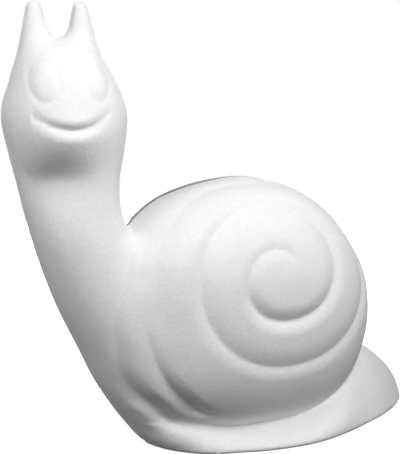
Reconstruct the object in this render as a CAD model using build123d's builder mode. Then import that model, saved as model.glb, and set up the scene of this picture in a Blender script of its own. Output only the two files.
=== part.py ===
from build123d import *
from math import acos, atan2, cos, degrees, hypot, radians, sin, sqrt
import os

# Snail figurine moulded in bead foam as two halves that meet on the plane Y = 0.
# The head is at -X, the tail at +X, and the face and the near spiral look towards -Y.
# The origin is on the ground, under the middle of the figure.

# Foot on the ground, with the hump of the tail at its back end
foot_front = 33.6           # from the origin to the prow under the neck
foot_back = 79.4            # from the origin to the tip of the tail
foot_width = 52.0
foot_height = 9.5           # top of the foot under the shell
tail_height = 26.0          # hump of the tail behind the shell

# Neck and head, which rise from the front end of the foot
head_reach = 58.3           # from the origin to the head's axis
head_top = 139.4
head_width = 40.0
head_depth = 37.0

# Horns
horn_top = 150.0
horn_root = 128.0           # deep inside the head
horn_spacing = 14.4
horn_root_radius = 7.6
horn_tip_radius = 3.4

# Face
face_turn = 5.0             # degrees that the face looks towards the front
eye_height = 124.6          # from the ground to the middle of the eyes
eye_spacing = 17.2
eye_width = 9.6
eye_length = 12.8
eye_thickness = 8.0
eye_sunk = 3.1              # from the head's skin in to the middle of the eye
mouth_width = 24.5
mouth_corner_height = 115.6
mouth_drop = 5.6            # from the corners of the smile to its lowest point
mouth_radius = 1.6
mouth_depth = 1.3
muzzle_width = 32.0
muzzle_height = 20.0
muzzle_thickness = 16.0
muzzle_sunk = 7.2
muzzle_middle = 114.5       # from the ground to the middle of the muzzle

# Shell: its outline, and the spiral that climbs from the rim to the hub
shell_front = 44.0          # from the origin to the lip around the neck
shell_back = 55.0           # from the origin to the shell's rear end
shell_top = 93.0
shell_bottom = 1.0
shell_depth = 51.0          # over both sides, without the whorls
hub_height = 62.7
hub_radius = 16.0
hub_rise = 3.6
whorl_rise = 2.1            # how far the whorl stands out of the shell
whorl_sunk = 0.7            # from the shell's skin in to the whorl's base
whorl_step = 22.5           # degrees from one section of the whorl to the next

# Inside: the hollow, the tongue and groove around it, and the locating pegs
hollow_radius = 30.0        # where the halves meet
hollow_depth = 16.0         # in each half
rim_land = 3.0              # from the hollow to the tongue
tongue_width = 3.0
tongue_height = 2.5
tongue_taper = 0.4          # by which each side of the tongue leans in
peg_radius = 4.0
peg_length = 5.0
peg_chamfer = 0.8
peg_height = 110.0          # from the ground to the peg in the head
foot_peg_height = 12.0
joint_clearance = 0.3       # beside the pegs and the tongue, and past their ends

# Shares: place along the foot, half width, and height of the foot or of the tail
foot_shares = [
    (0.012, 0.140, 0.40),
    (0.048, 0.390, 0.65),
    (0.123, 0.620, 0.85),
    (0.262, 0.870, 1.00),
    (0.371, 0.970, 1.00),
    (0.530, 1.000, 1.20),
]
tail_shares = [
    (0.669, 0.840, 0.75),
    (0.777, 0.660, 0.97),
    (0.877, 0.446, 0.80),
    (0.930, 0.300, 0.58),
    (0.966, 0.180, 0.36),
    (0.990, 0.090, 0.15),
]
# Shares: height, reach, width and depth of the neck and head, from the ground up
neck_shares = [
    (0.000, 0.370, 0.600, 0.600),
    (0.065, 0.437, 0.750, 0.730),
    (0.123, 0.494, 0.850, 0.810),
    (0.262, 0.648, 0.900, 0.860),
    (0.392, 0.796, 0.865, 0.860),
    (0.515, 0.904, 0.830, 0.840),
    (0.603, 0.967, 0.800, 0.840),
    (0.679, 0.988, 0.850, 0.880),
    (0.746, 0.993, 0.940, 0.950),
    (0.813, 0.997, 1.000, 1.000),
    (0.879, 1.000, 0.915, 0.935),
    (0.945, 1.009, 0.720, 0.735),
    (0.976, 1.009, 0.560, 0.540),
    (0.994, 1.009, 0.340, 0.310),
    (1.000, 1.009, 0.150, 0.140),
]
# Shares: place along the shell from the lip, and its top, bottom and depth there
shell_shares = [
    (0.000, 0.760, 0.300, 0.620),
    (0.020, 0.800, 0.230, 0.740),
    (0.073, 0.840, 0.145, 0.820),
    (0.150, 0.912, 0.085, 0.885),
    (0.246, 0.958, 0.045, 0.955),
    (0.343, 0.985, 0.020, 0.985),
    (0.505, 1.000, 0.000, 1.000),
    (0.620, 0.982, 0.000, 0.980),
    (0.733, 0.932, 0.017, 0.930),
    (0.827, 0.866, 0.060, 0.840),
    (0.911, 0.768, 0.150, 0.680),
    (0.963, 0.672, 0.255, 0.480),
    (0.990, 0.590, 0.350, 0.260),
]
hub_share = 0.505
nudge_share = 0.1           # of a quarter turn, to find which way the whorl runs
# Shares of the shell's height, at each quarter turn from under the hub and on by way of the tail:
# from the hub to the whorl's middle line, and half of the whorl's width
whorl_shares = [
    (0.100, 0.018),
    (0.180, 0.058),
    (0.183, 0.056),
    (0.213, 0.076),
    (0.270, 0.081),
    (0.360, 0.084),
    (0.275, 0.055),
    (0.384, 0.074),
    (0.478, 0.076),
    (0.500, 0.018),
]
# Shares: how far up the neck the lower peg stands, and how far along the foot the one in the tail
neck_peg_share = 0.32
tail_peg_share = 0.86

foot_length = foot_front + foot_back
shell_length = shell_front + shell_back
shell_height = shell_top - shell_bottom
hub_x = hub_share * shell_length - shell_front
shell_middle = (shell_top + shell_bottom) / 2
face_shift = head_width / 2 * sin(radians(face_turn))


def between(shares, place):
    """The row of shares at a place between two of its rows."""
    for low, high in zip(shares, shares[1:]):
        if place <= high[0]:
            break
    part = (place - low[0]) / (high[0] - low[0])
    return [a + part * (b - a) for a, b in zip(low, high)]


def head_side(aside, height):
    """Point on the near skin of the neck or head, and the direction straight out of it, seen from above."""
    level, reach, width, depth = between(neck_shares, height / head_top)
    half_width, half_depth = width * head_width / 2, depth * head_depth / 2
    out = half_depth * sqrt(1 - (aside / half_width) ** 2)
    return Vector(aside - reach * head_reach, -out, height), Vector(aside / half_width**2, -out / half_depth**2, 0)


def shell_side(x, z):
    """How far the shell's skin stands from the parting plane, at a place seen from the side."""
    along, top, bottom, depth = between(shell_shares, (x + shell_front) / shell_length)
    middle = shell_bottom + (top + bottom) / 2 * shell_height
    lift = (z - middle) / ((top - bottom) / 2 * shell_height)
    return depth * shell_depth / 2 * sqrt(max(0, 1 - lift**2))


def whorl_share(column, turns):
    """A share of the whorl, on a smooth curve through its quarter turns."""
    last = len(whorl_shares) - 1
    quarter = min(int(turns), last - 1)
    part = turns - quarter
    before, start, end, after = [whorl_shares[min(max(quarter + k, 0), last)][column] for k in (-1, 0, 1, 2)]
    bend = 2 * before - 5 * start + 4 * end - after
    twist = 3 * start - before - 3 * end + after
    return start + part * (end - before + part * (bend + part * twist)) / 2


def whorl_point(turns):
    """Where the whorl's middle line lies on the near side of the shell."""
    reach = whorl_share(0, turns) * shell_height
    turn = radians(90 * (turns - 1))
    x, z = hub_x + reach * cos(turn), hub_height + reach * sin(turn)
    return Vector(x, -shell_side(x, z), z)


def whorl_plane(turns):
    """Plane across the whorl, with its X axis straight out of the shell."""
    here = whorl_point(turns)
    forward = whorl_point(turns + nudge_share) - whorl_point(turns - nudge_share)
    outward = Vector(
        (here.X - hub_x) / (shell_length / 2) ** 2,
        here.Y / (shell_depth / 2) ** 2,
        (here.Z - shell_middle) / (shell_height / 2) ** 2,
    ).normalized()
    forward = (forward - outward * forward.dot(outward)).normalized()
    return Plane(origin=here - outward * whorl_sunk, x_dir=outward, z_dir=forward)


def on_face(aside, height, sunk):
    """Place on the face: a distance from its middle line, at a height, sunk in the head."""
    skin, out = head_side(aside - face_shift, height)
    spot = skin - out.normalized() * sunk
    return Location(spot, (0, 0, degrees(atan2(out.X, -out.Y))))


def ring_section(grown):
    """Section of the tongue around the hollow, grown for a groove that takes it."""
    inner = hollow_radius + rim_land - grown
    outer = hollow_radius + rim_land + tongue_width + grown
    end = -tongue_height - grown
    return [(inner, 0), (outer, 0), (outer - tongue_taper, end), (inner + tongue_taper, end)]


with BuildPart() as foot:
    for shares, rise in ((foot_shares, foot_height), (tail_shares, tail_height)):
        for along, half_width, height in shares:
            across = Plane(origin=(along * foot_length - foot_front, 0, 0), x_dir=(0, 1, 0), z_dir=(1, 0, 0))
            side = half_width * foot_width / 2
            with BuildSketch(across):
                with BuildLine():
                    EllipticalCenterArc((0, 0), side, height * rise, start_angle=0, arc_size=180)
                    Line((-side, 0), (side, 0))
                make_face()
    loft()

with BuildPart() as neck:
    for height, reach, width, depth in neck_shares:
        with BuildSketch(Plane(origin=(-reach * head_reach, 0, height * head_top))):
            Ellipse(width * head_width / 2, depth * head_depth / 2)
    loft()

with BuildPart() as horn:
    rise = horn_top - horn_root
    ball = rise - horn_tip_radius
    lean = acos(horn_tip_radius / hypot(horn_root_radius, ball)) - atan2(ball, horn_root_radius)
    touch = (horn_tip_radius * cos(lean), ball + horn_tip_radius * sin(lean))
    with BuildSketch(Plane.XZ):
        with BuildLine():
            Polyline((0, rise), (0, 0), (horn_root_radius, 0), touch)
            CenterArc((0, ball), horn_tip_radius, degrees(lean), 90 - degrees(lean))
        make_face()
    revolve(axis=Axis.Z)

with BuildPart() as shell:
    for along, top, bottom, depth in shell_shares:
        high = shell_bottom + top * shell_height
        low = shell_bottom + bottom * shell_height
        place = (along * shell_length - shell_front, 0, (high + low) / 2)
        with BuildSketch(Plane(origin=place, x_dir=(0, 1, 0), z_dir=(1, 0, 0))):
            Ellipse(depth * shell_depth / 2, (high - low) / 2)
    loft()

# The whorl: one bow shaped section that follows the spiral over the near side of the shell
with BuildPart() as whorl:
    quarter_steps = round(90 / whorl_step)
    for step in range(quarter_steps * (len(whorl_shares) - 1) + 1):
        turns = step / quarter_steps
        side = whorl_share(1, turns) * shell_height
        with BuildSketch(whorl_plane(turns)):
            with BuildLine():
                ThreePointArc((0, -side), (whorl_rise + whorl_sunk, 0), (0, side))
                Line((0, side), (0, -side))
            make_face()
    loft()

with BuildPart() as hub:
    with Locations((hub_x, hub_radius - hub_rise - shell_side(hub_x, hub_height), hub_height)):
        Sphere(hub_radius)

# The hollow in one half: a round dish, whose axis runs through the middle of the shell
hollow_plane = Plane(origin=((shell_back - shell_front) / 2, 0, shell_middle))
with BuildPart() as hollow:
    ball_radius = (hollow_radius**2 + hollow_depth**2) / hollow_depth / 2
    with Locations(hollow_plane.origin + Vector(0, ball_radius - hollow_depth)):
        Sphere(ball_radius)

# Both halves share this outer form
with BuildPart() as figure:
    add(foot)
    add(neck)
    with Locations(*[(-head_reach + side * horn_spacing / 2, 0, horn_root) for side in (-1, 1)]):
        add(horn)
    add(shell)

with BuildPart() as near_side:
    add(figure)
    add(whorl)
    add(hub)
    add(hollow, mode=Mode.SUBTRACT)
    split(bisect_by=Plane.XZ, keep=Keep.TOP)

# Tongue and groove around the hollow
hollow_axis = Axis(hollow_plane.origin, hollow_plane.y_dir)
with BuildPart() as tongue:
    with BuildSketch(hollow_plane):
        with BuildLine():
            Polyline(*ring_section(0), close=True)
        make_face()
    revolve(axis=hollow_axis)

with BuildPart() as groove:
    with BuildSketch(hollow_plane):
        with BuildLine():
            Polyline(*ring_section(joint_clearance), close=True)
        make_face()
    revolve(axis=hollow_axis)

# Pegs that locate the halves: in the head, low in the neck and in the tail
head_peg_reach = between(neck_shares, peg_height / head_top)[1]
neck_peg_reach = between(neck_shares, neck_peg_share)[1]
peg_places = [
    (-head_peg_reach * head_reach, peg_height),
    (-neck_peg_reach * head_reach, neck_peg_share * head_top),
    (tail_peg_share * foot_length - foot_front, foot_peg_height),
]
with BuildPart() as pegs:
    with BuildSketch(Plane.XZ):
        with Locations(*peg_places):
            Circle(peg_radius)
    extrude(amount=peg_length)
    chamfer(pegs.faces().group_by(Axis.Y)[0].edges(), peg_chamfer)

with BuildPart() as sockets:
    with BuildSketch(Plane.XZ):
        with Locations(*peg_places):
            Circle(peg_radius + joint_clearance)
    extrude(amount=peg_length + joint_clearance)

# Raised eyes, and the cheeks and chin that swell around the smile
with BuildPart() as eye:
    Sphere(1)
    scale(by=(eye_width / 2, eye_thickness / 2, eye_length / 2))

with BuildPart() as muzzle:
    Sphere(1)
    scale(by=(muzzle_width / 2, muzzle_thickness / 2, muzzle_height / 2))

# The two mouldings: the pegs and the tongue of the back half go into the front half
with BuildPart() as back_half:
    mirror(near_side.part, about=Plane.XZ)
    add(tongue)
    add(pegs)

with BuildPart() as front_half:
    add(near_side)
    with Locations(on_face(0, muzzle_middle, muzzle_sunk)):
        add(muzzle)
    with Locations(*[on_face(side * eye_spacing / 2, eye_height, eye_sunk) for side in (-1, 1)]):
        add(eye)
    smile = [on_face(side * mouth_width / 2, mouth_corner_height, -mouth_radius) for side in (-1, 1)]
    smile.insert(1, on_face(0, mouth_corner_height - mouth_drop, mouth_depth - mouth_radius))
    with BuildLine() as smile_line:
        ThreePointArc(*[spot.position for spot in smile])
    with BuildSketch(smile_line.line ^ 0):
        Circle(mouth_radius)
    sweep(path=smile_line.line, mode=Mode.SUBTRACT)
    add(groove, mode=Mode.SUBTRACT)
    add(sockets, mode=Mode.SUBTRACT)

os.makedirs("parts", exist_ok=True)
front_half.part.label = "front_half"
back_half.part.label = "back_half"
export_step(front_half.part, "parts/front_half.step")
export_step(back_half.part, "parts/back_half.step")
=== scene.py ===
import math

import bmesh
import bpy
import numpy as np
from bpy.props import FloatProperty, FloatVectorProperty, PointerProperty
from mathutils import Matrix, Vector


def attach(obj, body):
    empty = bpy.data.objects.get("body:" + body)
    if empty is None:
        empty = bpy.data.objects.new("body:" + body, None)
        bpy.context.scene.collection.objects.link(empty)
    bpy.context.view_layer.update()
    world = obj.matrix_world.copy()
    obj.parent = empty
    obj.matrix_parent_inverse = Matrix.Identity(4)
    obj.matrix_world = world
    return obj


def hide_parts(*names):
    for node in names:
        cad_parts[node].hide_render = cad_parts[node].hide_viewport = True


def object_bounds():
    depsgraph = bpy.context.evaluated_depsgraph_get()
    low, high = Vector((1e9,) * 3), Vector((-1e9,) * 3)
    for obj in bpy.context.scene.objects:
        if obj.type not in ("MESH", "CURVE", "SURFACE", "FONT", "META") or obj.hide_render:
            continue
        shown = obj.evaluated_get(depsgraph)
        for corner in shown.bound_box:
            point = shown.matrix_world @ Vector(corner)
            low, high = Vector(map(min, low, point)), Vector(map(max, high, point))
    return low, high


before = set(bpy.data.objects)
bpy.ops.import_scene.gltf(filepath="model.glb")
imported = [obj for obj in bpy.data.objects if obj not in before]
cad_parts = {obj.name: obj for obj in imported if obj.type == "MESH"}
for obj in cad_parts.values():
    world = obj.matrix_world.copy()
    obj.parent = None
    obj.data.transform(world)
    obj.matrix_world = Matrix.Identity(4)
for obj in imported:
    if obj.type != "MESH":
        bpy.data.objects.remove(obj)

bl_info = {
    "name": "Foam Snail",
    "version": (1, 0, 0),
    "blender": (4, 5, 0),
    "location": "3D View > Sidebar > Snail",
    "description": "Dresses the packed snail figurine as two mouldings of white bead foam",
    "category": "Object",
}

# The camera that matches the photograph: place and target in metres, focal length in photo pixels
camera_place = (-0.10966, -0.23522, 0.116)
camera_target = (-0.01119, 0, 0.0758)
focal_pixels = 732.6
photo_width = 400
sensor_width = 36

# Where every lamp points
lamp_target = (-0.02, 0, 0.08)

cad_box = [list(corner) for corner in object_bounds()]

# The tables below are in millimetres, and the meshes in metres
MM = 0.001

# Neck and cheeks from the ground up: height, middle, half width, half depth
neck_rows = (
    (0.0, -13.2, 19.3, 18.6),
    (1.2, -15.0, 18.8, 18.1),
    (4.2, -19.8, 16.7, 16.7),
    (8.0, -23.7, 15.6, 15.2),
    (12.5, -27.2, 15.3, 14.6),
    (17.1, -29.5, 15.9, 14.9),
    (26.0, -33.3, 17.2, 15.6),
    (36.5, -37.5, 17.7, 15.9),
    (54.6, -46.1, 17.0, 15.9),
    (71.8, -52.4, 16.3, 15.5),
    (84.1, -56.1, 15.7, 15.0),
    (94.7, -57.3, 16.7, 15.4),
    (104.0, -57.6, 18.5, 17.2),
    (113.3, -57.9, 19.8, 19.0),
    (117.0, -57.9, 19.8, 19.0),
    (121.0, -58.0, 19.4, 18.8),
    (130.0, -58.0, 18.3, 18.2),
)
cheek_height = 113.3
head_top = 138.4

# Horns: the foot and the tip of each one's axis, and the radius at both
horns = (
    ((-66.4, 0.0, 128.0), (-66.8, 0.0, 147.2), 6.9, 2.3),
    ((-52.0, 0.0, 128.0), (-52.3, 0.0, 147.6), 6.9, 2.3),
)

# Foot and tail along X: place, half width, height
foot_rows = (
    (-24.0, 8.0, 3.0),
    (-19.7, 13.8, 4.4),
    (-12.5, 19.6, 4.9),
    (-4.0, 23.5, 5.0),
    (8.3, 26.2, 5.2),
    (26.3, 26.4, 7.0),
    (36.0, 24.3, 12.0),
    (44.0, 21.7, 18.6),
    (51.5, 18.9, 24.0),
    (59.0, 15.8, 23.8),
    (64.0, 13.2, 20.4),
    (69.1, 10.0, 16.0),
    (73.3, 6.6, 11.2),
    (76.0, 3.8, 6.6),
    (78.2, 0.4, 1.6),
)

# Outline of the shell about its middle: angle in degrees, radius
shell_middle = (5.5, 47.0)
outline_rows = (
    (-16.0, 52.3),
    (0.0, 50.7),
    (19.0, 49.0),
    (31.0, 47.9),
    (46.0, 46.7),
    (60.0, 46.0),
    (89.0, 46.0),
    (109.0, 47.2),
    (121.0, 49.1),
    (132.0, 51.4),
    (144.0, 52.8),
    (162.0, 51.5),
    (180.0, 50.0),
    (198.0, 52.0),
    (211.0, 53.6),
    (228.0, 51.6),
    (239.0, 48.8),
    (251.0, 46.8),
    (271.0, 46.0),
    (284.0, 47.5),
    (297.0, 50.1),
    (309.0, 52.6),
    (322.0, 53.6),
    (344.0, 52.3),
    (360.0, 50.7),
    (379.0, 49.0),
)
shell_half_depth = 26.4

# The groove between the whorls, which winds out from the hub: angle in degrees, radius
hub = (8.2, 62.6)
groove_rows = (
    (0.0, 6.2),
    (45.0, 6.6),
    (86.0, 7.6),
    (135.0, 9.6),
    (179.0, 12.4),
    (230.0, 15.2),
    (285.0, 17.4),
    (349.0, 22.6),
    (443.0, 21.6),
    (538.0, 28.4),
    (641.0, 33.8),
    (705.0, 40.0),
    (765.0, 34.2),
    (810.0, 28.6),
    (879.0, 39.6),
    (907.0, 45.5),
)

# Folds of the shell's lip low at the front: height, place along X
lip_folds = (
    (
        (5.4, -11.0),
        (7.8, -20.5),
        (11.8, -28.0),
        (17.8, -33.5),
        (23.4, -39.1),
        (30.0, -43.6),
        (44.0, -47.0),
    ),
    (
        (9.5, -10.5),
        (13.2, -16.8),
        (16.8, -20.8),
        (20.9, -24.9),
        (26.0, -29.2),
        (33.0, -33.4),
        (46.0, -38.0),
    ),
)

# Edge of the shell against the neck: height, place along X
shell_rim = (
    (38.9, -45.1),
    (46.3, -45.4),
    (53.6, -44.8),
    (61.0, -43.0),
    (68.4, -41.2),
    (73.9, -40.5),
    (75.7, -38.9),
)

eyes = ((-67.0, 124.6), (-51.2, 125.2))

# The mouth: place along X, height
smile = ((-71.5, 114.8), (-66.3, 111.7), (-59.8, 110.3), (-53.6, 111.6), (-47.4, 115.8))


def curve(rows, column, at):
    """A smooth curve through a table's rows, read at many places."""
    table = np.array(rows, float)
    places, values = table[:, 0], table[:, column]
    slopes = np.gradient(values, places)
    at = np.clip(at, places[0], places[-1])
    row = np.clip(np.searchsorted(places, at, side="right") - 1, 0, len(places) - 2)
    gap = places[row + 1] - places[row]
    t = (at - places[row]) / gap
    s = 1 - t
    ends = values[row] * (1 + 2 * t) * s**2 + values[row + 1] * (3 - 2 * t) * t**2
    return ends + gap * t * s * (slopes[row] * s - slopes[row + 1] * t)


def ramp(low, high, at):
    """Rises smoothly from 0 at low to 1 at high."""
    t = np.clip((at - low) / (high - low), 0, 1)
    return t * t * (3 - 2 * t)


def join(a, b, fillet):
    """Two solids' fields as one, with a fillet where they meet."""
    h = np.clip(0.5 + 0.5 * (b - a) / fillet, 0, 1)
    return b * (1 - h) + a * h - fillet * h * (1 - h)


def beside(rows, run, rise):
    """Distance from a curve given by a table, square to it: above 0 on the side of larger rise."""
    slope = (curve(rows, 1, run + 0.2) - curve(rows, 1, run - 0.2)) / 0.4
    return (rise - curve(rows, 1, run)) / np.sqrt(1 + slope**2)


def fold(distance, inner, outer, rounded):
    """Section of a groove between two full forms: 1 at its bottom, 0 at the crown on each side."""
    soft = np.sqrt(distance**2 + rounded**2) - rounded
    return np.clip(1 - soft / np.where(distance < 0, inner, outer), 0, 1) ** 2


def neck_field(x, y, z):
    """Neck and head, closed by a dome over the cheeks."""
    middle, wide, deep = (curve(neck_rows, column, z) for column in (1, 2, 3))
    up = np.maximum(z - cheek_height, 0) / (head_top - cheek_height)
    power = 1.8 + 0.2 * ramp(6, 20, z)
    across, along = np.abs(y / deep) + 1e-6, np.abs((x - middle) / wide) + 1e-6
    q = (across**power + along**power + up**2) ** (1 / power)
    return (q - 1) * np.minimum(wide, deep)


def horn_field(x, y, z):
    """Both horns, as tapered round rods."""
    best = np.full(x.shape, 1e9)
    for foot, tip, wide, narrow in horns:
        axis = np.subtract(tip, foot)
        length = np.linalg.norm(axis)
        dx, dy, dz = x - foot[0], y - foot[1], z - foot[2]
        t = np.clip((dx * axis[0] + dy * axis[1] + dz * axis[2]) / length**2, 0, 1)
        gap = np.sqrt((dx - t * axis[0]) ** 2 + (dy - t * axis[1]) ** 2 + (dz - t * axis[2]) ** 2)
        best = np.minimum(best, gap - wide - t * (narrow - wide))
    return best


def foot_field(x, y, z):
    """Foot and tail, as bows over the ground."""
    within = np.clip(x, foot_rows[0][0], foot_rows[-1][0])
    wide, high = curve(foot_rows, 1, within), curve(foot_rows, 2, within)
    power = 2.8 - 1.6 * ramp(24, 54, x)
    across, up = np.abs(y / wide) + 1e-6, np.maximum(z, 0) / high + 1e-6
    level = (across**power + up**power) ** (1 / power)
    slope = level ** (1 - power) * np.hypot(across ** (power - 1) / wide, up ** (power - 1) / high)
    return (level - 1) / np.maximum(slope, 0.02) + np.abs(x - within)


def whorls(x, z):
    """How far the shell's skin lies under its crowns, from the groove that winds between them."""
    px, pz = x - hub[0], z - hub[1]
    reach = np.hypot(px, pz)
    turn = np.degrees(np.arctan2(pz, px)) % 360
    deep = np.zeros(x.shape)
    for lap in (0, 360, 720):
        angle = turn + lap
        radius = curve(groove_rows, 1, angle)
        strength = 0.32 * ramp(5, 80, angle) + 0.68 * ramp(165, 240, angle)
        strength = strength * (1 - 0.35 * ramp(330, 430, angle)) * (1 - ramp(860, 910, angle))
        inner = 4.5 + 3.0 * ramp(120, 500, angle)
        outer = 3.5 + 1.5 * ramp(90, 300, angle)
        deep = deep + strength * fold(reach - radius, inner, outer, 0.45)
    return deep


def shell_field(x, y, z, groove_depth):
    """The domed shell with its grooves."""
    dx, dz = x - shell_middle[0], z - shell_middle[1]
    reach = np.hypot(dx, dz)
    angle = np.degrees(np.arctan2(dz, dx)) % 360
    rim = curve(outline_rows, 1, angle)
    level = dx / np.maximum(reach, 0.01)
    below = np.maximum(-dz / np.maximum(reach, 0.01), 0)
    power = 2.4 + np.where(level > 0, 0.4, 0.7) * level**2 + 0.35 * below**2
    t = np.maximum(reach / rim, 0.001)
    swell = 1.0 * np.exp(-((x - hub[0]) ** 2 + (z - hub[1]) ** 2) / 300)
    deep = shell_half_depth + swell
    q = np.sqrt(t**power + (y / deep) ** 2)
    slope = np.hypot(power / 2 * t ** (power - 1) / rim, y / deep**2) / np.maximum(q, 0.05)
    skin = (q - 1) / np.maximum(slope, 0.012)
    side = ramp(1, 7, np.abs(y))
    return skin + groove_depth * whorls(x, z) * (0.4 + 0.6 * side)


def lip_relief(x, y, z):
    """How far the folds of the shell's lip cut in low at the front, less how far its edge stands out."""
    deep = np.zeros(x.shape)
    for rows in lip_folds:
        low_end = rows[0][0]
        strength = ramp(low_end + 1.4, low_end + 6, z) * (1 - 0.8 * ramp(14, 40, z)) * (1 - ramp(40, 56, z))
        deep = deep + strength * fold(beside(rows, z, x), 5.0, 4.5, 0.6)
    deep = deep * ramp(5, 11, np.abs(y))
    past = beside(shell_rim, z, x)
    step = ramp(-2.2, 2.6, past) * (1 - ramp(4, 26, past)) * ramp(30, 48, z) * (1 - ramp(66, 78, z))
    return deep - 0.4 * step * ramp(4, 10, np.abs(y))


def face_relief(x, y, z):
    """How far the face stands out of the plain head."""
    out = 2.2 * np.exp(-(((x + 60.0) / 12.5) ** 2) - ((z - 108.0) / 6.5) ** 2)
    under = (z - 94.5) / np.where(z > 94.5, 6.0, 12.0)
    out = out - 3.0 * np.exp(-(((x + 63.0) / 8.5) ** 2) - under**2)
    for ex, ez in eyes:
        q = np.hypot((x - ex) / 3.5, (z - ez) / 5.4)
        out = out + 0.34 * (1 - ramp(0.6, 1.15, q)) - 0.14 * np.exp(-(((q - 1.2) / 0.15) ** 2))
        out = out + 0.6 * np.exp(-(((x - ex) / 4.5) ** 2)) * ramp(118, 129, z) * (1 - ramp(133, 144, z))
    place = (x - smile[0][0]) / (smile[-1][0] - smile[0][0])
    strength = 0.25 + 0.75 * ramp(0, 0.45, place) * (1 - ramp(0.55, 1.0, place))
    ends = ramp(-0.01, 0.05, place) * (1 - ramp(0.93, 1.02, place))
    out = out - 1.7 * strength * ends * fold(beside(smile, x, z), 3.4, 2.5, 0.4)
    return out * ramp(2, 8, -y)


def figure_field(settings):
    """The whole figure as one field: below 0 inside, and in millimetres near its skin."""

    def field(x, y, z):
        neck = neck_field(x, y, z) - face_relief(x, y, z)
        head = join(neck, horn_field(x, y, z), settings.horn_fillet / MM)
        body = join(head, foot_field(x, y, z), settings.prow_fillet / MM)
        shell = shell_field(x, y, z, settings.groove_depth / MM)
        flank = ramp(2, 14, np.abs(y)) * ramp(14, 34, z)
        fillet = settings.crease / MM + flank * (settings.neck_fillet - settings.crease) / MM
        whole = join(body, shell, fillet) + settings.fold_depth / MM * lip_relief(x, y, z)
        return -join(-whole, z, settings.edge_fillet / MM)

    return field


def settle(spots, field, rounds):
    """Moves points onto the field's skin, straight along its slope."""
    step = 0.03
    for _ in range(rounds):
        x, y, z = spots.T
        here = field(x, y, z)
        slope = np.stack(
            [
                field(x + step, y, z) - field(x - step, y, z),
                field(x, y + step, z) - field(x, y - step, z),
                field(x, y, z + step) - field(x, y, z - step),
            ],
            axis=1,
        ) / (2 * step)
        size = np.maximum((slope**2).sum(axis=1), 0.05)
        move = slope * (here / size)[:, None]
        length = np.maximum(np.linalg.norm(move, axis=1), 1e-9)
        spots = spots - move * np.minimum(1, 2.0 / length)[:, None]
    return spots


def read_spots(mesh):
    """The mesh's points in millimetres."""
    spots = np.empty(len(mesh.vertices) * 3)
    mesh.vertices.foreach_get("co", spots)
    return spots.reshape(-1, 3) / MM


def write_spots(mesh, spots):
    """Puts points in millimetres back in the mesh."""
    mesh.vertices.foreach_set("co", (spots * MM).astype(np.float32).ravel())
    mesh.update()


def applied(mesh, kind, **options):
    """The mesh with one modifier applied to it."""
    carrier = bpy.data.objects.new("carrier", mesh)
    bpy.context.scene.collection.objects.link(carrier)
    modifier = carrier.modifiers.new("shape", kind)
    for name, value in options.items():
        setattr(modifier, name, value)
    seen = carrier.evaluated_get(bpy.context.evaluated_depsgraph_get())
    result = bpy.data.meshes.new_from_object(seen)
    bpy.data.objects.remove(carrier)
    bpy.data.meshes.remove(mesh)
    return result


def made(bm, name="shape"):
    """A mesh of what was modelled."""
    mesh = bpy.data.meshes.new(name)
    bm.to_mesh(mesh)
    bm.free()
    return mesh


def skinned(bm, places):
    """A closed form over unit circles set by matrices, each bridged to the one before."""
    last = None
    for place in places:
        ring = bmesh.ops.create_circle(bm, segments=40, radius=1, matrix=place)["verts"]
        edges = list({edge for vert in ring for edge in vert.link_edges})
        if last is None:
            bmesh.ops.holes_fill(bm, edges=edges, sides=0)
        else:
            bmesh.ops.bridge_loops(bm, edges=last + edges)
        last = edges
    bmesh.ops.holes_fill(bm, edges=last, sides=0)


def tube(bm, rings):
    """A closed tube through rings, each with a middle, a half width along X and a half depth along Y."""
    skinned(
        bm,
        [
            Matrix.Translation(Vector(middle) * MM) @ Matrix.Diagonal((wide * MM, deep * MM, 1, 1))
            for middle, wide, deep in rings
        ],
    )


def rough_forms():
    """Neck, horns, foot and shell as plain closed forms that run into each other."""
    bm = bmesh.new()
    rings = [((row[1], 0, row[0]), row[2], row[3]) for row in neck_rows]
    cheeks, wide, deep = rings[-1][0], neck_rows[-1][2], neck_rows[-1][3]
    for share in (0.3, 0.55, 0.75, 0.9, 0.98):
        shrink = math.sqrt(1 - share**2)
        height = cheeks[2] + share * (head_top - cheeks[2])
        rings.append(((cheeks[0], 0, height), wide * shrink, deep * shrink))
    tube(bm, rings)
    for foot, tip, wide, narrow in horns:
        tube(bm, [(foot, wide, wide), (tip, narrow, narrow), ((tip[0], 0, tip[2] + 2.5), 1.2, 1.2)])
    place = Matrix.Translation(Vector((shell_middle[0], 0, shell_middle[1])) * MM)
    size = Matrix.Diagonal((49 * MM, shell_half_depth * MM, 45.5 * MM, 1))
    bmesh.ops.create_uvsphere(bm, u_segments=64, v_segments=40, radius=1, matrix=place @ size)
    turn = Matrix.Rotation(math.pi / 2, 4, "Y")
    skinned(
        bm,
        [
            Matrix.Translation((x * MM, 0, 0)) @ turn @ Matrix.Diagonal((high * MM, wide * MM, 1, 1))
            for x, wide, high in foot_rows
        ],
    )
    bmesh.ops.recalc_face_normals(bm, faces=bm.faces)
    return made(bm)


def moulded_figure(settings):
    """The figure's whole skin: the rough forms fused in one even mesh, and settled on the field."""
    field = figure_field(settings)
    mesh = applied(rough_forms(), "REMESH", mode="VOXEL", voxel_size=1.5 * MM)
    write_spots(mesh, settle(read_spots(mesh), field, 6))
    mesh = applied(mesh, "REMESH", mode="VOXEL", voxel_size=settings.grain)
    spots = settle(read_spots(mesh), field, 4)
    write_spots(mesh, spots)
    return mesh


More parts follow.
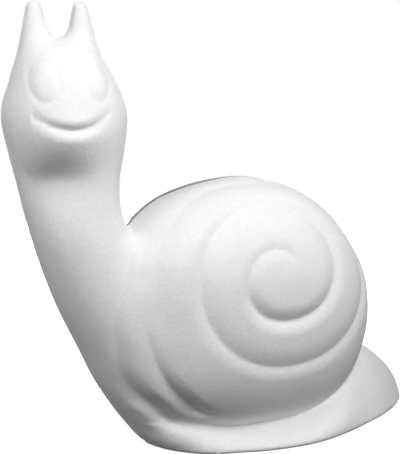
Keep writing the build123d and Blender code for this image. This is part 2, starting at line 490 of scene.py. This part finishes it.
def half_skin(figure, settings, side, lip, crest_lip):
    """One half of the figure, cut at the parting plane and closed there, with a fine lip on its edge."""
    bm = bmesh.new()
    bm.from_mesh(figure)
    geom = list(bm.verts) + list(bm.edges) + list(bm.faces)
    bmesh.ops.bisect_plane(bm, geom=geom, dist=1e-6, plane_no=(0, side, 0), clear_inner=True)
    rim = [edge for edge in bm.edges if edge.is_boundary]
    field = figure_field(settings)
    edge_verts = list({vert for edge in rim for vert in edge.verts})
    spots = np.array([vert.co for vert in edge_verts]) / MM
    x, y, z = spots[:, 0], np.zeros(len(spots)), spots[:, 2]
    step = 0.05
    right = field(x + step, y, z) - field(x - step, y, z)
    up = field(x, y, z + step) - field(x, y, z - step)
    out = np.stack([right, up], 1)
    crest = ramp(-38.6, -36.4, x) * (1 - ramp(-14, 26, x)) * ramp(64, 70, z)
    rise = (lip + (crest_lip - lip) * crest) / MM
    out = out / np.maximum(np.linalg.norm(out, axis=1), 1e-6)[:, None] * rise[:, None]
    for vert, (right, up), (sx, _, sz) in zip(edge_verts, out, spots):
        vert.co = Vector((sx + right, 0, max(sz + up, 0) if sz > 0.5 else sz)) * MM
    bmesh.ops.holes_fill(bm, edges=rim, sides=0)
    return made(bm)


def keep_in_box(mesh):
    """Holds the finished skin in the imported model's box."""
    spots = read_spots(mesh)
    low, high = np.array(cad_box[0]) / MM, np.array(cad_box[1]) / MM
    write_spots(mesh, np.clip(spots, low, high))


def finished(mesh, name, node, foam):
    """Puts a finished half in the scene, in the place of its node."""
    mesh.name = name
    for polygon in mesh.polygons:
        polygon.use_smooth = True
    mesh.set_sharp_from_angle(angle=math.radians(50))
    mesh.materials.clear()
    mesh.materials.append(foam)
    piece = bpy.data.objects.new(name, mesh)
    bpy.context.scene.collection.objects.link(piece)
    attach(piece, "root")
    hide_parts(node)
    return piece


class Wire:
    """A number that runs through the shader. Python's operators on it add Math nodes."""

    def __init__(self, finish, socket):
        self.finish, self.socket = finish, socket

    def maths(self, operation, *values):
        return self.finish.node("ShaderNodeMath", {"operation": operation}, dict(enumerate(values)))

    def __add__(self, other):
        return self.maths("ADD", self, other)

    def __radd__(self, other):
        return self.maths("ADD", other, self)

    def __sub__(self, other):
        return self.maths("SUBTRACT", self, other)

    def __rsub__(self, other):
        return self.maths("SUBTRACT", other, self)

    def __mul__(self, other):
        return self.maths("MULTIPLY", self, other)

    def __rmul__(self, other):
        return self.maths("MULTIPLY", other, self)


class Finish:
    """The node tree of a material or a world, with one method that adds any node."""

    def __init__(self, owner):
        self.owner = owner
        owner.use_nodes = True
        self.tree = owner.node_tree
        self.tree.nodes.clear()

    def node(self, kind, settings=None, inputs=None, output=0):
        """Adds a node with its settings, and its inputs as values or wires, and gives one output."""
        node = self.tree.nodes.new(kind)
        for name, value in (settings or {}).items():
            setattr(node, name, value)
        for name, value in (inputs or {}).items():
            if isinstance(value, Wire):
                self.tree.links.new(value.socket, node.inputs[name])
            else:
                node.inputs[name].default_value = value
        return Wire(self, node.outputs[output]) if node.outputs else None

    def band(self, value, low, high):
        """0 where the value is at low, 1 at high, and smooth between."""
        return self.node(
            "ShaderNodeMapRange",
            {"interpolation_type": "SMOOTHSTEP"},
            {"Value": value, "From Min": low, "From Max": high},
        )

    def blend(self, share, low, high):
        """The low color where the share is 0, and the high one where it is 1."""
        return self.node(
            "ShaderNodeMix",
            {"data_type": "RGBA", "clamp_factor": True},
            {0: share, 6: low, 7: high},
            2,
        )

    def seen(self):
        """1 for rays that show the surface itself: to the camera, mirrored or through a clear piece."""
        kinds = ("Camera", "Glossy", "Transmission")
        rays = [self.node("ShaderNodeLightPath", output=f"Is {kind} Ray") for kind in kinds]
        return rays[0].maths("MAXIMUM", rays[0], rays[1].maths("MAXIMUM", rays[1], rays[2]))


def bead_foam(settings):
    """White bead foam: beads pressed together, fine gaps between them, and painted shade, a dark band
    standing for the shadow in the seam over the crest.
    """
    finish = Finish(bpy.data.materials.new("bead_foam"))
    place = finish.node("ShaderNodeTexCoord", output=3)
    scale = 1 / settings.bead
    sway = {"Vector": place, "Scale": scale * 0.35, "Detail": 1.0}
    drift = finish.node("ShaderNodeTexNoise", None, sway, 1)
    bent = finish.node(
        "ShaderNodeVectorMath",
        {"operation": "MULTIPLY_ADD"},
        {0: drift, 1: (settings.bead * 0.9,) * 3, 2: place},
    )
    packing = {"Vector": bent, "Scale": scale, "Randomness": 0.9}
    gap = finish.node("ShaderNodeTexVoronoi", {"feature": "DISTANCE_TO_EDGE"}, packing)
    cell = finish.node("ShaderNodeTexVoronoi", {"feature": "F1"}, packing, 1)
    tint = finish.node("ShaderNodeSeparateColor", None, {"Color": cell})
    bead = finish.band(gap, 0.0, 0.3)
    pits = finish.node("ShaderNodeTexNoise", None, {"Vector": place, "Scale": scale * 1.9, "Detail": 3.0})
    grain = finish.node("ShaderNodeTexNoise", None, {"Vector": place, "Scale": scale * 2.2, "Detail": 3.0})
    pit = finish.band(pits, 0.36, 0.27)
    height = bead * 0.08 + tint * 0.12 - pit * 0.4 + grain * 1.0
    relief = {"Strength": 1.0, "Distance": settings.bead_relief, "Height": height}
    bump = finish.node("ShaderNodeBump", None, relief)
    shade = bead * 0.6 + tint * 0.25 + 0.15 - pit * 0.3
    color = finish.blend(shade, (*settings.gap_color, 1), (*settings.color, 1))
    x, y, z = (finish.node("ShaderNodeSeparateXYZ", None, {"Vector": place}, axis) for axis in range(3))
    # Painted shade: a narrow dark band on the back half's edge, over the front of the crest only, stands for
    # the shadow in the seam and is darkest towards the neck
    seam = finish.band(y, -0.00006, -0.00002) * finish.band(y, 0.0006, 0.0003)
    seam = seam * finish.band(x, 0.03, -0.02) * finish.band(z, 0.066, 0.074) * 0.85
    color = finish.blend(seam, color, (*settings.seam_shade_color, 1))
    rough = settings.roughness + 0.12 * (1 - bead) - 0.06 * tint
    body = finish.node(
        "ShaderNodeBsdfPrincipled",
        None,
        {
            "Base Color": color,
            "Roughness": rough,
            "Normal": bump,
            "IOR": 1.45,
            "Specular IOR Level": settings.gloss,
            "Subsurface Weight": settings.softness,
            "Subsurface Radius": (1.0, 0.95, 0.9),
            "Subsurface Scale": 0.0015,
        },
    )
    finish.node("ShaderNodeOutputMaterial", None, {"Surface": body})
    return finish.owner


def backdrop_finish(settings):
    """Pale to the camera, and darker to the light that would bounce from it onto the figure."""
    finish = Finish(bpy.data.materials.new("pale_backdrop"))
    seen = finish.seen()
    color = finish.blend(seen, (*(settings.bounce,) * 3, 1), (*settings.floor_color, 1))
    paper = finish.node("ShaderNodeBsdfDiffuse", None, {"Color": color})
    place = finish.node("ShaderNodeTexCoord", output=3)
    reach = finish.node("ShaderNodeVectorMath", {"operation": "LENGTH"}, {0: place}, 1)
    lit = settings.floor_lift + (1 - settings.floor_lift) * finish.band(reach, 0.12, 0.7)
    glow = finish.node("ShaderNodeEmission", None, {"Color": (1, 1, 1, 1), "Strength": lit})
    dark = finish.node("ShaderNodeEmission", None, {"Strength": 0.0})
    lift = finish.node("ShaderNodeMixShader", None, {0: seen, 1: dark, 2: glow})
    both = finish.node("ShaderNodeAddShader", None, {0: paper, 1: lift})
    finish.node("ShaderNodeOutputMaterial", None, {"Surface": both})
    return finish.owner


def studio_world(settings):
    """White to the camera, and nearly dark to the figure."""
    finish = Finish(bpy.data.worlds.new("studio"))
    around = finish.node("ShaderNodeBackground", None, {"Color": (1, 1, 1, 1), "Strength": settings.surround})
    white = finish.node("ShaderNodeBackground", None, {"Color": (1, 1, 1, 1), "Strength": 1.0})
    mix = finish.node("ShaderNodeMixShader", None, {0: finish.seen(), 1: around, 2: white})
    finish.node("ShaderNodeOutputWorld", None, {"Surface": mix})
    return finish.owner


class FigureSettings(bpy.types.PropertyGroup):
    grain: FloatProperty(
        name="Grain",
        description="Size of the skin's mesh cells",
        default=0.00055,
        min=0.0003,
        unit="LENGTH",
    )
    horn_fillet: FloatProperty(
        name="Horn fillet",
        description="Rounding where horns and head meet",
        default=0.0035,
        min=0.0005,
        unit="LENGTH",
    )
    prow_fillet: FloatProperty(
        name="Prow fillet",
        description="Rounding where neck and foot meet",
        default=0.009,
        min=0.0005,
        unit="LENGTH",
    )
    neck_fillet: FloatProperty(
        name="Neck fillet",
        description="Rounding where neck and shell meet at their side",
        default=0.009,
        min=0.0005,
        unit="LENGTH",
    )
    crease: FloatProperty(
        name="Crease",
        description="Rounding where shell and foot meet",
        default=0.0016,
        min=0.0005,
        unit="LENGTH",
    )
    edge_fillet: FloatProperty(
        name="Edge fillet",
        description="Rounding of the foot's edge on the ground",
        default=0.0018,
        min=0.0005,
        unit="LENGTH",
    )
    groove_depth: FloatProperty(
        name="Groove depth",
        description="Depth of the groove between whorls",
        default=0.0018,
        min=0,
        unit="LENGTH",
    )
    fold_depth: FloatProperty(
        name="Fold depth",
        description="Depth of the folds in the shell's lip",
        default=0.0024,
        min=0,
        unit="LENGTH",
    )
    front_lip: FloatProperty(
        name="Front lip",
        description="Height of the lip on the front half's edge",
        default=0.0003,
        min=0,
        unit="LENGTH",
    )
    back_lip: FloatProperty(
        name="Back lip",
        description="Height of the lip on the back half's edge",
        default=0.00015,
        min=0,
        unit="LENGTH",
    )
    crest_lip: FloatProperty(
        name="Crest lip",
        description="Height of the back half's lip over the crest of the shell",
        default=0.0009,
        min=0,
        unit="LENGTH",
    )


class FoamSettings(bpy.types.PropertyGroup):
    color: FloatVectorProperty(
        name="Bead color",
        description="Color of the foam's beads",
        subtype="COLOR",
        default=(0.84, 0.84, 0.84),
        min=0,
        max=1,
    )
    gap_color: FloatVectorProperty(
        name="Gap color",
        description="Color in the gaps between beads",
        subtype="COLOR",
        default=(0.8, 0.8, 0.802),
        min=0,
        max=1,
    )
    # Painted shade: this dark color stands for the shadow in the seam over the crest of the shell
    seam_shade_color: FloatVectorProperty(
        name="Seam shade color",
        description="Color of the open seam over the crest of the shell",
        subtype="COLOR",
        default=(0.1, 0.1, 0.1),
        min=0,
        max=1,
    )
    bead: FloatProperty(
        name="Bead",
        description="Size of the foam's beads",
        default=0.0022,
        min=0.0005,
        unit="LENGTH",
    )
    bead_relief: FloatProperty(
        name="Bead relief",
        description="How far the beads stand out",
        default=0.00009,
        min=0,
        unit="LENGTH",
    )
    roughness: FloatProperty(
        name="Roughness",
        description="Roughness of the beads",
        subtype="FACTOR",
        default=0.65,
        min=0,
        max=1,
    )
    gloss: FloatProperty(
        name="Gloss",
        description="Strength of the beads' highlights",
        subtype="FACTOR",
        default=0.2,
        min=0,
        max=1,
    )
    softness: FloatProperty(
        name="Softness",
        description="How much light spreads inside the foam",
        subtype="FACTOR",
        default=0.05,
        min=0,
        max=1,
    )


class StudioSettings(bpy.types.PropertyGroup):
    key: FloatProperty(
        name="Key lamp",
        description="Power of the lamp before the face",
        default=0.34,
        min=0,
        unit="POWER",
    )
    shell: FloatProperty(
        name="Shell lamp",
        description="Power of the lamp before the shell",
        default=0.82,
        min=0,
        unit="POWER",
    )
    left: FloatProperty(
        name="Left lamp",
        description="Power of the high lamp beside the head",
        default=0.38,
        min=0,
        unit="POWER",
    )
    edge: FloatProperty(
        name="Edge lamp",
        description="Power of the low lamp beside the neck",
        default=0.26,
        min=0,
        unit="POWER",
    )
    top: FloatProperty(
        name="Top lamp",
        description="Power of the lamp above the figure",
        default=0.06,
        min=0,
        unit="POWER",
    )
    back: FloatProperty(
        name="Back lamp",
        description="Power of the lamp behind the figure",
        default=3.0,
        min=0,
        unit="POWER",
    )
    lamp_scale: FloatProperty(
        name="Lamp scale",
        description="Widens the lamps, which softens the shadows",
        subtype="FACTOR",
        default=1.0,
        min=0.1,
        max=3,
    )
    surround: FloatProperty(name="Surround", description="Light from all around", default=0.01, min=0)
    bounce: FloatProperty(
        name="Bounce",
        description="How pale the floor is to light on the figure",
        subtype="FACTOR",
        default=0.03,
        min=0,
        max=1,
    )
    floor_lift: FloatProperty(
        name="Floor lift",
        description="Extra light of the floor near the figure, as the camera sees it",
        subtype="FACTOR",
        default=0.72,
        min=0,
    )
    floor_color: FloatVectorProperty(
        name="Floor color",
        description="Color of the floor",
        subtype="COLOR",
        default=(0.9, 0.9, 0.9),
        min=0,
        max=1,
    )


class SNAIL_OT_halves(bpy.types.Operator):
    """Models the figure, parts it on its middle plane and dresses both halves in bead foam"""

    bl_idname = "snail.halves"
    bl_label = "Two halves"

    def execute(self, context):
        settings = context.scene.snail_figure
        figure = moulded_figure(settings)
        foam = bead_foam(context.scene.snail_foam)
        for node, side, lip, crest_lip in (
            ("front_half", -1, settings.front_lip, settings.front_lip * 0.5),
            ("back_half", 1, settings.back_lip, settings.crest_lip),
        ):
            mesh = half_skin(figure, settings, side, lip, crest_lip)
            keep_in_box(mesh)
            finished(mesh, node + "_foam", node, foam)
        bpy.data.meshes.remove(figure)
        return {"FINISHED"}


class SNAIL_OT_studio(bpy.types.Operator):
    """Adds the pale floor, the soft lamps and the camera at the photograph's viewing angle"""

    bl_idname = "snail.studio"
    bl_label = "Studio"

    def execute(self, context):
        scene = context.scene
        studio = scene.snail_studio
        bm = bmesh.new()
        bmesh.ops.create_grid(bm, x_segments=1, y_segments=1, size=6)
        floor = bpy.data.objects.new("studio_floor", made(bm, "studio_floor"))
        floor.data.materials.append(backdrop_finish(studio))
        scene.collection.objects.link(floor)
        for name, place, size, power in (
            ("key_lamp", (-0.08, -0.24, 0.22), 0.12, studio.key),
            ("shell_lamp", (0.12, -0.24, 0.32), 0.15, studio.shell),
            ("left_lamp", (-0.35, -0.1, 0.35), 0.15, studio.left),
            ("edge_lamp", (-0.4, 0.05, 0.15), 0.12, studio.edge),
            ("top_lamp", (0.0, -0.12, 0.5), 0.2, studio.top),
            ("back_lamp", (0.15, 0.5, 0.14), 0.3, studio.back),
        ):
            disk = bpy.data.lights.new(name, "AREA")
            disk.shape, disk.size, disk.energy = "DISK", size * studio.lamp_scale, power
            lamp = bpy.data.objects.new(name, disk)
            lamp.location = place
            lamp.visible_camera = False
            lamp.rotation_euler = (Vector(lamp_target) - Vector(place)).to_track_quat("-Z", "Y").to_euler()
            scene.collection.objects.link(lamp)
        scene.world = studio_world(studio)
        eye, target = Vector(camera_place), Vector(camera_target)
        data = bpy.data.cameras.new("photo_camera")
        data.sensor_fit, data.sensor_width = "HORIZONTAL", sensor_width
        data.lens = focal_pixels / photo_width * sensor_width
        camera = bpy.data.objects.new("photo_camera", data)
        camera.location = eye
        camera.rotation_euler = (target - eye).to_track_quat("-Z", "Y").to_euler()
        scene.collection.objects.link(camera)
        scene.camera = camera
        scene.view_settings.view_transform = "Standard"
        return {"FINISHED"}


class SNAIL_PT_panel(bpy.types.Panel):
    bl_idname = "SNAIL_PT_panel"
    bl_label = "Foam Snail"
    bl_space_type = "VIEW_3D"
    bl_region_type = "UI"
    bl_category = "Snail"

    def draw(self, context):
        scene = context.scene
        for operator in (SNAIL_OT_halves, SNAIL_OT_studio):
            self.layout.operator(operator.bl_idname)
        for settings in (scene.snail_figure, scene.snail_foam, scene.snail_studio):
            box = self.layout.box()
            for name in settings.__annotations__:
                box.prop(settings, name)


classes = (
    FigureSettings,
    FoamSettings,
    StudioSettings,
    SNAIL_OT_halves,
    SNAIL_OT_studio,
    SNAIL_PT_panel,
)


def register():
    for cls in classes:
        bpy.utils.register_class(cls)
    bpy.types.Scene.snail_figure = PointerProperty(type=FigureSettings)
    bpy.types.Scene.snail_foam = PointerProperty(type=FoamSettings)
    bpy.types.Scene.snail_studio = PointerProperty(type=StudioSettings)


def unregister():
    del bpy.types.Scene.snail_studio
    del bpy.types.Scene.snail_foam
    del bpy.types.Scene.snail_figure
    for cls in reversed(classes):
        bpy.utils.unregister_class(cls)


def main():
    register()
    bpy.ops.snail.studio()
    bpy.ops.snail.halves()


if __name__ == "__main__":
    main()
